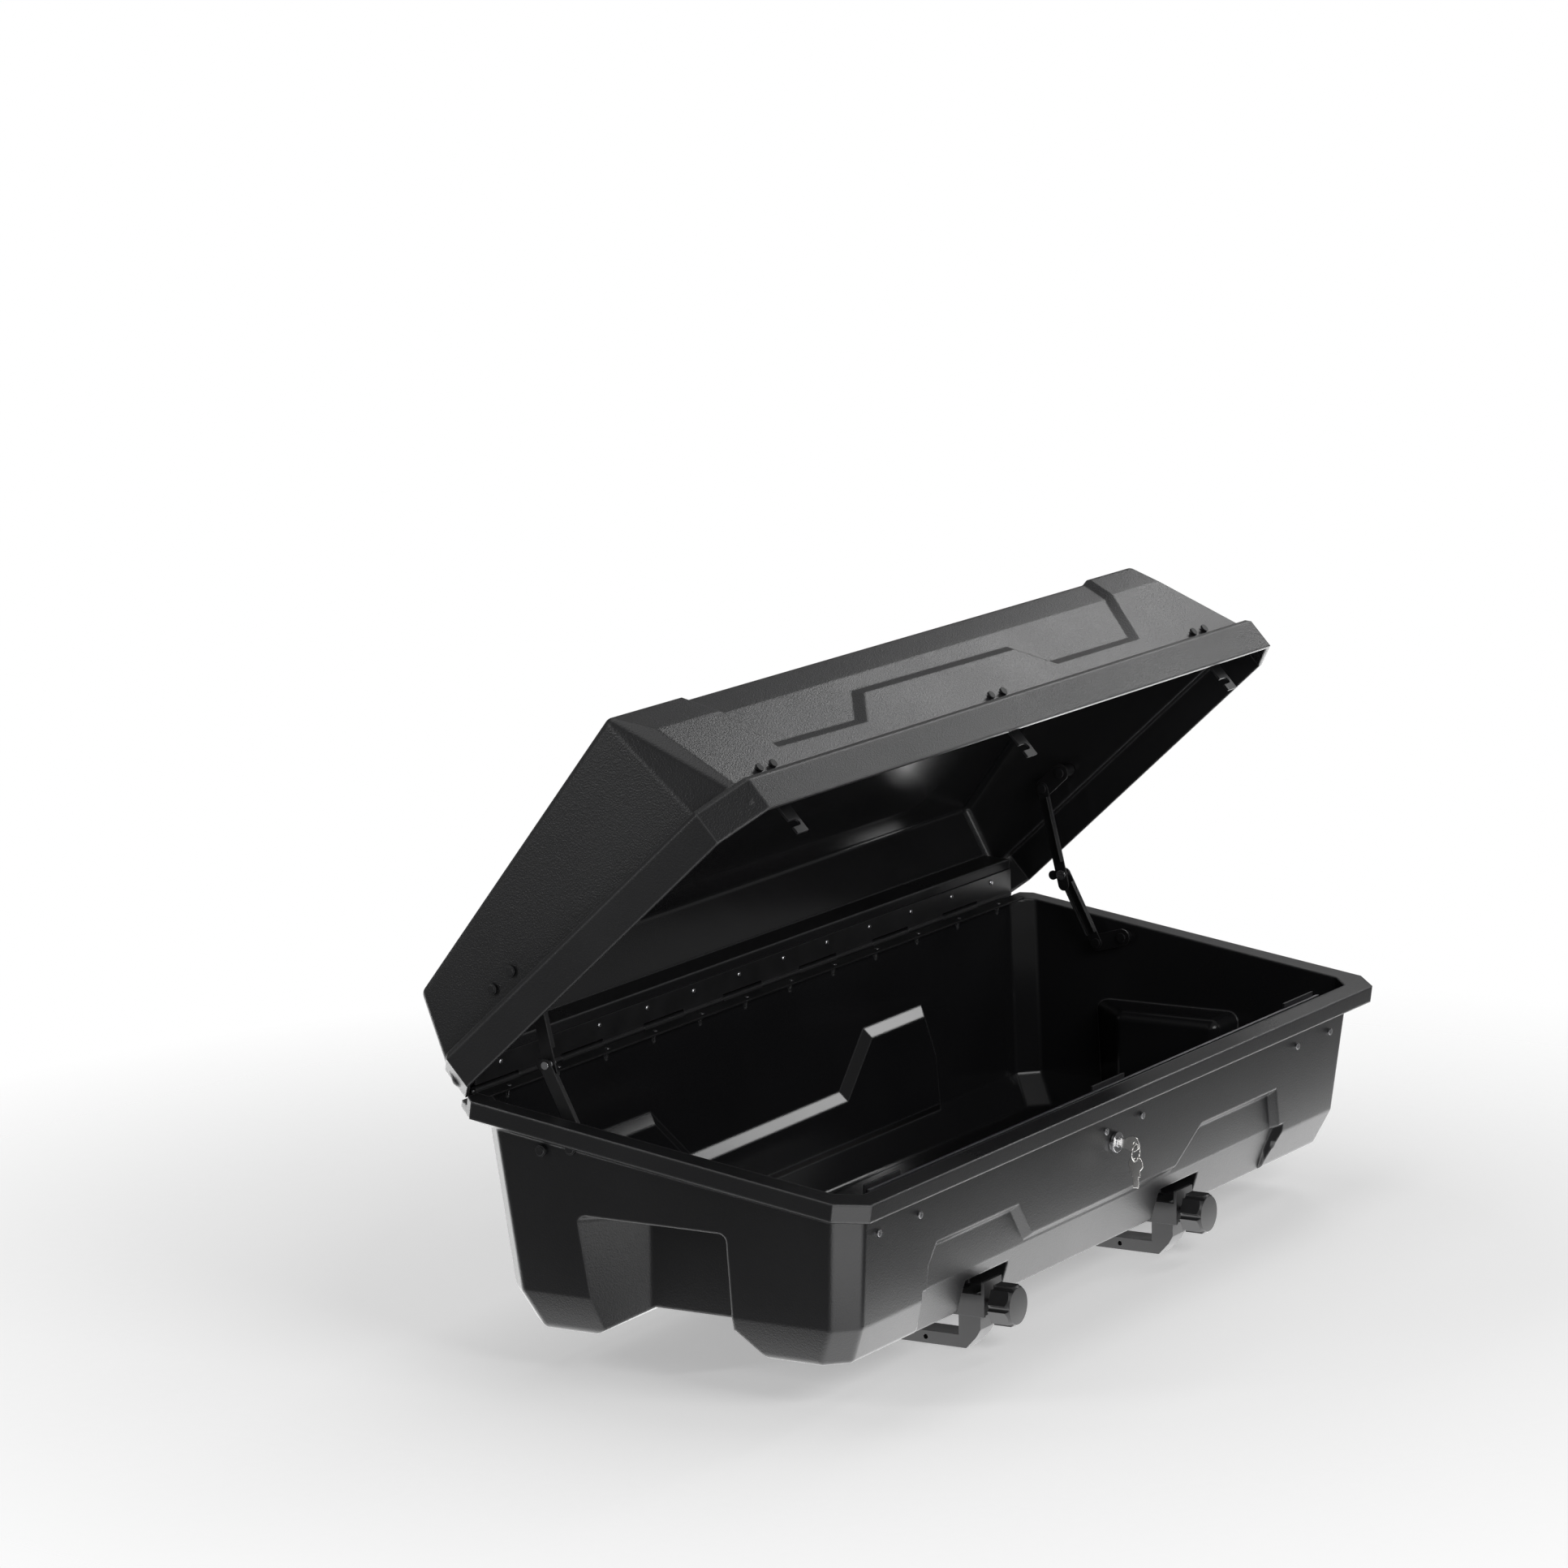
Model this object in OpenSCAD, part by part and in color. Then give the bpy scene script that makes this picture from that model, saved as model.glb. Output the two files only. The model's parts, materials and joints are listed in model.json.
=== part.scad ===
// Hitch cargo carrier box: hinged lid, folding lid stays, key-driven slide latch and
// two screw clamps. Millimetres. Origin: middle of the footprint, Z=0 on the feet of the
// box, -Y is the lock side, +Y the hinge side. Drawn with the lid open.

/* [Assembly] */
// Sub-part to build, or "all" for the whole carrier.
// Lid opening angle the part is drawn at, in degrees.
lid_open = 50.4; // [0:0.2:50.4]

/* [Box] */
// Overall length over the rims.
box_len = 1400; // [1380:5:1420]
// Overall width over the rims.
box_wid = 560; // [556:1:566]
// Height of the front rim above the feet.
rim_front = 210; // [206:1:214]
// Height of the hinge-side rim above the feet.
rim_rear = 290; // [287:1:293]
// Wall thickness of the tub.
tub_wall = 5; // [4:0.5:6]
// Wall thickness of the lid.
lid_wall = 4; // [3:0.5:5]
// Depth of the sunk panel of the lid.
lid_panel_depth = 5.5; // [4:0.5:6]
// Depth of the sunk panels in the front and rear walls of the tub.
tub_panel_depth = 9; // [6:0.5:9]
// Depth of the hand pockets in the ends.
pocket_depth = 50; // [35:1:54]
// Corner radius of the mouldings.
mould_r = 12; // [11:1:13]

/* [Latch] */
// Travel of the slide latch.
latch_travel = 14; // [12:1:14]
// Radius of the latch pins.
latch_pin_r = 3; // [2.5:0.5:3.5]
// Height of the lock barrel above the feet.
lock_z = 141; // [139:1:143]

/* [Clamps] */
// Position along the box of the left clamp.
clamp_left_x = -300; // [-310:1:-295]
// Position along the box of the right clamp.
clamp_right_x = 207; // [203:1:211]
// Thickness of the carrier rail the jaws close on.
rail_t = 25.4; // [20:0.1:26]
// Travel of the clamp jaw.
jaw_travel = 12; // [8:1:12]
// Size of the clamp knob over its corners.
knob_d = 57; // [50:1:58]

/* [Hidden] */
eps = 0.05;
run_gap = 0.05;
half_len = box_len / 2;
half_wid = box_wid / 2;
rim_slope = atan((rim_rear - rim_front) / box_wid);
rim_run = box_wid / cos(rim_slope);
lip_h = 22;
lip_under = 34;
lip_corner = 33;
seal_gap = 1;

// wall planes of the tub: offset at the feet and draft per mm of height
front_y0 = 234.5;
front_draft = 0.1055;
rear_y0 = 235.9;
rear_draft = 0.0861;
end_x0 = 648;
end_draft = 0.105;
band_z = 51;
foot_front = 222;
foot_rear = 220;
foot_end = 642;
tub_chamfer = 26;
top_z = 320;
pocket_r = 10;
front_panel_run = 9;
rear_panel_run = 14;

// hinge line, given along the rim plane and above it
hinge_u = 13.4;
hinge_n = 0.5;
hinge_y = -half_wid + (rim_run - hinge_u) * cos(rim_slope) - hinge_n * sin(rim_slope);
hinge_z = rim_front + (rim_run - hinge_u) * sin(rim_slope) + hinge_n * cos(rim_slope);
hinge_r = 4.5;
hinge_pin_r = 1.6;
hinge_len = 1330;
hinge_count = 14;
hinge_pitch = hinge_len / hinge_count;
hinge_rivets = 12;
hinge_rivet_r = 2;
crest_y = 261;
crest_cut_z = 276.5;

// lid stays: pivots in Y and Z, link lengths
stay_y = 125;
stay_z = 235;
stay_lid_u = 167;
stay_lid_v = 69;
lower_len = 103;
upper_len = 120;
closed_y = half_wid - stay_lid_u * cos(rim_slope) - (stay_lid_v + seal_gap) * sin(rim_slope);
closed_z = rim_rear - stay_lid_u * sin(rim_slope) + (stay_lid_v + seal_gap) * cos(rim_slope);
lid_dy = closed_y - hinge_y;
lid_dz = closed_z - hinge_z;
stay_top_y = hinge_y + lid_dy * cos(lid_open) + lid_dz * sin(lid_open);
stay_top_z = hinge_z - lid_dy * sin(lid_open) + lid_dz * cos(lid_open);
stay_dist = norm([stay_top_y - stay_y, stay_top_z - stay_z]);
stay_dir = atan2(stay_top_z - stay_z, stay_top_y - stay_y);
stay_cos = (pow(lower_len, 2) + pow(stay_dist, 2) - pow(upper_len, 2)) / (2 * lower_len * stay_dist);
lower_dir = stay_dir - acos(stay_cos);
elbow_y = stay_y + lower_len * cos(lower_dir);
elbow_z = stay_z + lower_len * sin(lower_dir);
upper_dir = atan2(elbow_z - stay_top_z, elbow_y - stay_top_y);
link_t = 2.5;
lower_x = 651;
upper_x = 641;
base_plate_x = 654.5;
lid_plate_x = 644.5;
stay_bolt_r = 4;
stay_plate_t = 3;
nut_slot = 8.5;
lower_nut_x = 673.6;
base_nut_x = 674.6;
lid_nut_x = 678.9;
elbow_x = 645.4;
elbow_r = 3;
face_gap = 0.05;

// latch
hook_x = [-565, -5, 545];
hook_u = 531;
hook_t = 3;
hook_half = 12;
mouth_v = -14;
mouth_h = 9;
pin_rest = -(hook_half + latch_pin_r + 1.5);
mouth_y = half_wid - hook_u * cos(rim_slope) - (mouth_v + seal_gap) * sin(rim_slope);
mouth_z = rim_rear - hook_u * sin(rim_slope) + (mouth_v + seal_gap) * cos(rim_slope);
bar_y = mouth_y + 8;
bar_t = 4;
bar_z = 184;
bar_h = 24;
bar_len = 1190;
catch_x = [-556, 10, 545.5];
catch_span = 97;
catch_z = 160;
rivet_r = 2.4;
lock_x = -12;
lock_face = front_y0 + front_draft * lock_z;
cam_r = latch_travel / sqrt(2);
cam_y = -239.5;
plug_r = 6;
key_out = 36;
key_hole_y = -lock_face - key_out + 6;
ring_r = 10.5;

// clamps
seat_z = -12;
jaw_z = -54;
lip_top = seat_z - rail_t - 0.6;
screw_z = 2;
screw_r = 5;
cheek_x = 18;
cheek_t = 4;
front_plate_y = -234;
jaw_front = -226;
jaw_rear = -196;
tab_y = -183;
tab_t = 6;
slab_end = 160;
clamp_pos = [clamp_left_x, clamp_right_x];
clamp_bolt_y = [-150, 137];
clamp_bolt_x = 12;
clamp_bolt_r = 4;

// ---------------------------------------------------------------- frames

// X along the box, Y up the slope of the rims, Z square to the rim plane
module rim_frame() {
    translate([0, -half_wid, rim_front]) rotate([rim_slope, 0, 0]) children();
}

// lid frame: origin on the rear bottom edge of the lid, Y to the rear, Z up, lid shut
module lid_shut_frame() {
    rim_frame() translate([0, rim_run, seal_gap]) children();
}

// turn a shut lid to the drawn opening angle
module lid_frame() {
    translate([0, hinge_y, hinge_z]) rotate([-lid_open, 0, 0])
        translate([0, -hinge_y, -hinge_z]) lid_shut_frame() children();
}

// X along the box, Y up the front wall, Z outward
module front_wall_frame() {
    translate([0, -front_y0, 0]) rotate([90 + atan(front_draft), 0, 0]) children();
}

// X along the box, Y up the rear wall, Z outward
module rear_wall_frame() {
    mirror([0, 1, 0]) translate([0, -rear_y0, 0])
        rotate([90 + atan(rear_draft), 0, 0]) children();
}

// profile drawn in Y and Z, extruded along X from x0 to x1
module along_x(x0, x1) {
    translate([x0, 0, 0]) rotate([90, 0, 90]) linear_extrude(x1 - x0) children();
}

// cylinder along X from x0 to x1
module rod_x(r, x0, x1, y, z, sides = 32) {
    translate([x0, y, z]) rotate([0, 90, 0]) cylinder(r = r, h = x1 - x0, $fn = sides);
}

// cylinder along Y from y0 to y1
module rod_y(r, y0, y1, x, z, sides = 32) {
    translate([x, y0, z]) rotate([-90, 0, 0]) cylinder(r = r, h = y1 - y0, $fn = sides);
}

// children on the right, or mirrored to the left
module on_side(s) {
    mirror([s < 0 ? 1 : 0, 0, 0]) children();
}

// ---------------------------------------------------------------- tub shell

// rectangle from y0 to y1, half width hx, with cut corners
module cut_plan(hx, y0, y1, c_front, c_rear) {
    polygon([
        [-hx, y0 + c_front], [-hx + c_front, y0], [hx - c_front, y0], [hx, y0 + c_front],
        [hx, y1 - c_rear], [hx - c_rear, y1], [-hx + c_rear, y1], [-hx, y1 - c_rear]
    ]);
}

// eight balls on one level of the tub; g changes the ball radius
module tub_ring(z, hx, yf, yr, g) {
    hxc = hx - mould_r;
    yfc = yf - mould_r;
    yrc = yr - mould_r;
    c = tub_chamfer - mould_r * 0.4;
    for (sx = [-1, 1])
        for (p = [[hxc, -yfc + c], [hxc - c, -yfc], [hxc, yrc - c], [hxc - c, yrc]])
            translate([sx * p[0], p[1], z]) sphere(r = mould_r + g, $fn = 32);
}

module tub_body(g) {
    hull() {
        tub_ring(mould_r, foot_end, foot_front, foot_rear, g);
        tub_ring(band_z, end_x0 + end_draft * band_z, front_y0 + front_draft * band_z,
                 rear_y0 + rear_draft * band_z, g);
        tub_ring(top_z, end_x0 + end_draft * top_z, front_y0 + front_draft * top_z,
                 rear_y0 + rear_draft * top_z, g);
    }
}

// unit normal pointing into a clockwise outline, for its edge from a to b
function inward(a, b) = [b[1] - a[1], a[0] - b[0]] / norm(b - a);

// clockwise outline moved inward by d, with mitred corners
function inset(pts, d) = [
    for (i = [0 : len(pts) - 1])
        let (before = pts[(i + len(pts) - 1) % len(pts)], after = pts[(i + 1) % len(pts)])
        let (m = inward(before, pts[i]), n = inward(pts[i], after))
        pts[i] + d * (m + n) / (1 + m * n)
];

// sunk panel: pts is its clockwise outline on the surface z=0, and its sides slope
// inward by run from there to the floor at -depth; caps lists the convex cells of the
// outline by point number
module sunk_panel(pts, caps, depth, run, over = 1.5) {
    n = len(pts);
    floor_pts = inset(pts, run);
    mouth_pts = inset(pts, -run * over / depth);
    polyhedron(
        points = concat([for (p = floor_pts) [p[0], p[1], -depth]],
                        [for (p = mouth_pts) [p[0], p[1], over]]),
        faces = concat([for (c = caps) [for (i = [1 : len(c)]) c[len(c) - i]]],
                       [for (c = caps) [for (i = c) n + i]],
                       [for (i = [0 : n - 1]) [(i + 1) % n, (i + 1) % n + n, i + n, i]])
    );
}

front_outline = [
    [-474, 20], [-474, 90], [-458, 116], [-255, 116], [-214, 70], [168, 70], [233, 113],
    [447, 113], [480, 20]
];
front_cells = [[0, 1, 2, 3, 4], [0, 4, 5, 8], [5, 6, 7, 8]];
rear_outline = [
    [-440, 40], [-440, 188], [-301, 188], [-218, 117], [154, 120], [229, 189], [384, 190],
    [410, 120], [410, 40]
];
rear_cells = [[0, 1, 2, 3], [0, 3, 4, 8], [4, 5, 6, 7, 8]];

// hand pocket, open below; g grows it
module hand_pocket(g) {
    back = 650 - pocket_depth + pocket_r;
    hull()
        for (z = [-30, 152 - pocket_r])
            for (p = [[back, -70], [back, 59], [760, -70], [760, 207]])
                translate([p[0], p[1], z]) sphere(r = pocket_r + g, $fn = 28);
}

// lengthwise tunnel between the feet
module tunnel(g) {
    along_x(-half_len, half_len)
        polygon([
            [-121 - g * 1.2, -20], [-121 - g * 1.2, 0], [-82 - g * 0.5, 33 + g],
            [58 + g * 0.4, 33 + g], [120 + g * 1.1, 0], [120 + g * 1.1, -20]
        ]);
}

// sunk strip along the foot of the front wall
module band_recess(g) {
    intersection() {
        along_x(-520, 520)
            polygon([
                [-330, -20], [-207 + g, -20], [-213.5 + g, 0], [-231 + g, 56 + g * 0.6],
                [-246 + g, 61 + g], [-330, 72 + g]
            ]);
        translate([0, 0, -30]) linear_extrude(120)
            polygon([
                [-497 - g, -330], [-490 - g, -246], [-464 - g, -222], [-464 - g, -150],
                [456 + g, -150], [456 + g, -222], [484 + g, -246], [491 + g, -330]
            ]);
    }
}

// space in the front foot for a clamp screw and knob
module knob_pocket(xc, g) {
    along_x(xc - 54 - g, xc + 54 + g)
        polygon([
            [-330, -20], [-171 + g, -20], [-171 + g, 36 + g], [-224, 40 + g],
            [-246, 50 + g], [-330, 66 + g]
        ]);
}

// sunk panels of the front and rear walls, moved g into the box
module tub_panels(g) {
    front_wall_frame() translate([0, 0, -g])
        sunk_panel(front_outline, front_cells, tub_panel_depth, front_panel_run);
    rear_wall_frame() translate([0, 0, -g])
        sunk_panel(rear_outline, rear_cells, tub_panel_depth, rear_panel_run);
}

module tub_outer() {
    difference() {
        union() {
            intersection() {
                tub_body(0);
                rim_frame() translate([-half_len, -60, -500])
                    cube([box_len, rim_run + 120, 500]);
            }
            rim_frame() tub_lip();
        }
        tub_panels(0);
        for (s = [-1, 1]) on_side(s) hand_pocket(0);
        tunnel(0);
        band_recess(0);
        for (xc = clamp_pos) knob_pocket(xc, 0);
    }
}

// rim: straight skirt with a slanted underside
module tub_lip() {
    translate([0, 0, -lip_h]) linear_extrude(lip_h)
        cut_plan(half_len, 0, rim_run, lip_corner, lip_corner);
    hull() {
        translate([0, 0, -lip_h]) linear_extrude(0.2)
            cut_plan(half_len, 0, rim_run, lip_corner, lip_corner);
        translate([0, 0, -lip_under]) linear_extrude(0.2)
            cut_plan(half_len - 26, 25, rim_run - 19, lip_corner - 6, lip_corner - 6);
    }
}

module tub_cavity() {
    difference() {
        tub_body(-tub_wall);
        tub_panels(tub_wall);
        for (s = [-1, 1]) on_side(s) hand_pocket(tub_wall);
        tunnel(tub_wall);
        band_recess(tub_wall);
        for (xc = clamp_pos) knob_pocket(xc, tub_wall);
    }
}

module tub_shell() {
    color("#2b2b2d") difference() {
        tub_outer();
        tub_cavity();
        translate([-half_len - 1, crest_y, crest_cut_z]) cube([box_len + 2, 40, 40]);
        rim_frame() translate([-hinge_len / 2 - 1, 527, -2])
            cube([hinge_len + 2, 30, 20]);
        for (x = hinge_rivet_x()) rim_frame() translate([x, 538, -14])
            cylinder(r = hinge_rivet_r, h = 20, $fn = 24);
        for (x = rivet_x()) rod_y(rivet_r, -270, -235, x, catch_z, 24);
        rod_y(9.6, -270, -235, lock_x, lock_z, 48);
        for (p = stay_tub_sites()) on_side(p[0]) {
            rod_x(stay_bolt_r + 0.1, 655, 690, p[1], p[2]);
            translate([p[3] - 0.1, p[1] - nut_slot, p[2] - 3 * nut_slot])
                cube([6, 2 * nut_slot, 4 * nut_slot]);
        }
        for (p = clamp_bolt_sites())
            translate([p[0], p[1], -1]) cylinder(r = clamp_bolt_r + 0.1, h = 12, $fn = 32);
        for (s = [-1, 1], y = [-170, 170])
            translate([s * 560, y, -1]) cylinder(r = 5, h = 12, $fn = 32);
    }
}

// ---------------------------------------------------------------- lid shell

function hinge_rivet_x() = [for (i = [0 : hinge_rivets - 1])
    (i - (hinge_rivets - 1) / 2) * hinge_len / hinge_rivets];
function rivet_x() = [for (x = catch_x, s = [-1, 1]) x + s * catch_span / 2];
function hook_bolt_x() = [for (x = hook_x, s = [-1, 1]) x + s * 15.5];
function stay_second(s) = s > 0 ? [88, 245] : [166, 229];
function stay_second_lid(s) = s > 0 ? 201 : 131;
// side, Y, Z and the X of the outer nut face of each bolt through the tub ends
function stay_tub_sites() = [for (s = [-1, 1], k = [0, 1])
    k == 0 ? [s, stay_y, stay_z, lower_nut_x]
           : [s, stay_second(s)[0], stay_second(s)[1], base_nut_x]];
function clamp_bolt_sites() = [for (xc = clamp_pos, y = clamp_bolt_y, s = [-1, 1])
    [xc + s * clamp_bolt_x, y]];

lid_r = 12;
lid_band_h = 48;
lid_panel_run = 15;
lid_rings = [
    [670.8, 15, 20], [672, 499, 20], [650, 547, 20],
    [659.5, 46, 121], [632, 490, 160], [648, 464, 199]
];

module lid_body(g) {
    hull()
        for (s = [-1, 1], p = lid_rings)
            translate([s * p[0], -p[1], p[2]]) sphere(r = lid_r + g, $fn = 28);
}

// frame on a lid face: Y up the face from ring line p to ring line q, Z=0 on its surface
module lid_face(p, q) {
    translate([0, -p[1], p[2]]) rotate([atan2(q[2] - p[2], p[1] - q[1]), 0, 0])
        translate([0, 0, lid_r]) children();
}

// sunk panel that runs from the front face over the slanted edge and the top, moved g
// into the lid
module lid_panel(g) {
    depth = lid_panel_depth + 0.8;
    run = lid_panel_run * depth / lid_panel_depth;
    lid_face(lid_rings[2], lid_rings[4]) translate([0, 0, -g])
        sunk_panel([
            [-494, 64], [-495, 220], [567, 220], [417, 57], [192, 58], [158, 106],
            [-217, 110], [-288, 60]
        ], [[0, 1, 6, 7], [1, 2, 5, 6], [2, 3, 4, 5]], depth, run);
    lid_face(lid_rings[4], lid_rings[5]) translate([0, 0, -g])
        sunk_panel([[-495, -60], [-498, 120], [578, 120], [468, -60]], [[0, 1, 2, 3]],
                   depth, run);
    lid_face(lid_rings[5], lid_rings[3]) translate([0, 0, -g])
        sunk_panel([
            [-498, -80], [-498, 358], [-462, 395], [472, 395], [508, 358], [545, -80]
        ], [[0, 1, 2, 3, 4, 5]], depth, run);
}

module lid_band_plan(g) {
    cut_plan(half_len - g, -rim_run + g, -g, 53 - g * 0.6, lip_corner - g * 0.6);
}

module lid_band() {
    hull() {
        linear_extrude(lid_band_h - 6) lid_band_plan(0);
        translate([0, 0, lid_band_h - 0.2]) linear_extrude(0.2) lid_band_plan(5);
    }
}

module lid_cavity() {
    translate([0, 0, -1]) linear_extrude(lid_band_h - 4) lid_band_plan(5);
    difference() {
        lid_body(-lid_wall);
        lid_panel(lid_wall);
    }
    lid_body(-lid_wall - lid_panel_depth);
}

// hollow beam carrying the hinge along the rear of the lid
module hinge_beam() {
    difference() {
        along_x(-hinge_len / 2, hinge_len / 2)
            polygon([[-3, 7], [-22, 7], [-47, 34], [-15, 66], [-6, 46], [-3, 40]]);
        along_x(-hinge_len / 2 - 1, hinge_len / 2 + 1)
            polygon([[-8, 11], [-20, 11], [-41, 34], [-17, 58]]);
    }
}

module lid_shell() {
    color("#2f2f31") lid_frame() difference() {
        union() {
            difference() {
                union() {
                    lid_band();
                    lid_body(-lid_panel_depth);
                    difference() {
                        lid_body(0);
                        lid_panel(0);
                    }
                }
                lid_cavity();
            }
            hinge_beam();
        }
        for (x = hinge_rivet_x()) lid_rivet_line(x)
            translate([0, 0, -6]) cylinder(r = hinge_rivet_r, h = 16, $fn = 24);
        for (x = hook_bolt_x()) rod_y(3.1, -570, -500, x, 60, 24);
        for (s = [-1, 1], u = [stay_lid_u, stay_second_lid(s)]) on_side(s)
            rod_x(stay_bolt_r + 0.1, 655, 700, -u, stay_lid_v);
    }
}

// axis square to the sloped face of the hinge beam, at x
module lid_rivet_line(x) {
    translate([x, -31.5, 17.26]) rotate([-47.2 + 180, 0, 0]) children();
}

// ---------------------------------------------------------------- hinge

module knuckles(odd) {
    for (i = [0 : hinge_count - 1])
        if (i % 2 == odd)
            translate([-hinge_len / 2 + i * hinge_pitch + 0.4, 0, 0]) children();
}

module hinge_tub_leaf() {
    color("#1f1f20") rim_frame() difference() {
        union() {
            translate([-hinge_len / 2, 529, -2]) cube([hinge_len, 17, 2]);
            knuckles(0) translate([0, 545, -2]) cube([hinge_pitch - 0.8, 6, 2]);
            knuckles(0) translate([0, rim_run - hinge_u, hinge_n]) rotate([0, 90, 0])
                cylinder(r = hinge_r, h = hinge_pitch - 0.8, $fn = 32);
        }
        rod_x(hinge_pin_r + run_gap, -hinge_len, hinge_len, rim_run - hinge_u, hinge_n);
        for (x = hinge_rivet_x()) translate([x, 538, -3])
            cylinder(r = hinge_rivet_r, h = 5, $fn = 24);
    }
}

module hinge_lid_leaf() {
    color("#1f1f20") lid_frame() difference() {
        union() {
            along_x(-hinge_len / 2, hinge_len / 2)
                polygon([[-19.6, 5.5], [-22, 6.85], [-38, 24.15], [-39.5, 22.85],
                         [-23.5, 5.5], [-20.6, 2.6]]);
            knuckles(1) along_x(0, hinge_pitch - 0.8)
                polygon([[-13.4, 3], [-22, 6.85], [-23.5, 5.5], [-17.5, -0.2], [-13.4, -0.4]]);
            knuckles(1) translate([0, -hinge_u, hinge_n - seal_gap]) rotate([0, 90, 0])
                cylinder(r = hinge_r, h = hinge_pitch - 0.8, $fn = 32);
        }
        rod_x(hinge_pin_r + run_gap, -hinge_len, hinge_len, -hinge_u, hinge_n - seal_gap);
        for (x = hinge_rivet_x()) lid_rivet_line(x)
            translate([0, 0, -6]) cylinder(r = hinge_rivet_r, h = 16, $fn = 24);
    }
}

module hinge_pin() {
    color("#b9b9bc") rod_x(hinge_pin_r, -hinge_len / 2 - 2, hinge_len / 2 + 2, hinge_y, hinge_z);
}

// domed rivet: head above z=0, shank below
module rivet(head_r, head_h, shank_r, shank_l) {
    cylinder(r1 = head_r, r2 = head_r * 0.6, h = head_h, $fn = 24);
    translate([0, 0, -shank_l]) cylinder(r = shank_r, h = shank_l + eps, $fn = 24);
}

module hinge_tub_rivets() {
    color("#3a3a3c") for (x = hinge_rivet_x())
        rim_frame() translate([x, 538, 0]) rivet(3.6, 0.8, hinge_rivet_r, 13);
}

module hinge_lid_rivets() {
    color("#8a8a8d") lid_frame() for (x = hinge_rivet_x())
        lid_rivet_line(x) translate([0, 0, 2.1]) rivet(4, 1.6, hinge_rivet_r, 6);
}

// ---------------------------------------------------------------- lid stays

// flat bar with round ends between two points of the Y-Z plane
module bar_outline(p, q, r) {
    for (c = [p, q]) translate(c) circle(r = r, $fn = 48);
    translate(p) rotate(atan2(q[1] - p[1], q[0] - p[0]))
        translate([0, -r]) square([norm(q - p), 2 * r]);
}

// everything outboard of the inner face of the tub end wall
module beyond_tub_end() {
    rotate([0, atan(end_draft), 0]) translate([(end_x0 - tub_wall) * cos(atan(end_draft)) - 0.1, -300, -50])
        cube([60, 600, 600]);
}

module stay_base(s) {
    q = stay_second(s);
    on_side(s) difference() {
        union() {
            along_x(base_plate_x, base_plate_x + stay_plate_t)
                bar_outline([stay_y, stay_z], q, 11.5);
            for (p = [[stay_y, stay_z], q])
                rod_x(8.5, base_plate_x, 672, p[0], p[1]);
        }
        beyond_tub_end();
        rod_x(stay_bolt_r + run_gap, 640, 700, stay_y, stay_z);
        rod_x(stay_bolt_r + run_gap, 640, 700, q[0], q[1]);
    }
}

// U-section link turned about the tub pivot
module stay_lower_link(s) {
    on_side(s) translate([0, stay_y, stay_z]) rotate([lower_dir, 0, 0]) difference() {
        union() {
            along_x(lower_x, lower_x + link_t) bar_outline([0, 0], [lower_len, 0], 8);
            for (z = [-7.5, 5.5]) translate([lower_x - 5.5, 14, z])
                cube([5.5 + eps, lower_len - 28, 2]);
        }
        rod_x(stay_bolt_r + run_gap, 600, 700, 0, 0);
        rod_x(elbow_r + 0.1, 600, 700, lower_len, 0);
    }
}

// angle-section link turned about the lid pivot, with a finger tab by the elbow
module stay_upper_link(s) {
    on_side(s) translate([0, stay_top_y, stay_top_z]) rotate([upper_dir, 0, 0]) difference() {
        union() {
            along_x(upper_x, upper_x + link_t) bar_outline([0, 0], [upper_len + 14, 0], 8);
            along_x(upper_x, upper_x + link_t) {
                translate([upper_len - 7, 5]) square([11, 9]);
                translate([upper_len - 1.5, 13]) circle(r = 6.4, $fn = 48);
            }
            translate([upper_x - 7, 12, -7.5]) cube([7 + eps, upper_len - 30, 2]);
        }
        rod_x(stay_bolt_r + run_gap, 600, 700, 0, 0);
        rod_x(elbow_r + 0.1, 600, 700, upper_len, 0);
    }
}

module stay_lid_bracket(s) {
    u2 = stay_second_lid(s);
    lid_frame() on_side(s) difference() {
        union() {
            along_x(lid_plate_x, lid_plate_x + stay_plate_t)
                bar_outline([-stay_lid_u, stay_lid_v], [-u2, stay_lid_v], 12);
            for (u = [stay_lid_u, u2]) rod_x(8, lid_plate_x, 671.8, -u, stay_lid_v);
        }
        for (u = [stay_lid_u, u2])
            rod_x(stay_bolt_r + run_gap, 600, 700, -u, stay_lid_v);
    }
}

// through bolt along X: nut side at x0, hex head outside
module through_bolt(x0, x1, y, z, inner_r) {
    rod_x(stay_bolt_r, x0, x1, y, z);
    rod_x(inner_r, x0 - 3, x0 + eps, y, z);
    rod_x(7, x1 - eps, x1 + 3.5, y, z);
    rod_x(5.2, x1 + 3.4, x1 + 4.6, y, z);
}

module stay_tub_bolts() {
    color("#2c2c2e") for (s = [-1, 1]) on_side(s) {
        through_bolt(lower_x - 0.2, lower_nut_x, stay_y, stay_z, 6.5);
        through_bolt(base_plate_x - 0.2, base_nut_x, stay_second(s)[0], stay_second(s)[1], 6.5);
    }
}

module stay_lid_bolts() {
    color("#2b2b2d") lid_frame() for (s = [-1, 1]) on_side(s) {
        through_bolt(upper_x - 0.2, lid_nut_x, -stay_lid_u, stay_lid_v, 6.5);
        through_bolt(lid_plate_x - 0.2, lid_nut_x, -stay_second_lid(s), stay_lid_v, 6.5);
    }
}

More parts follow.
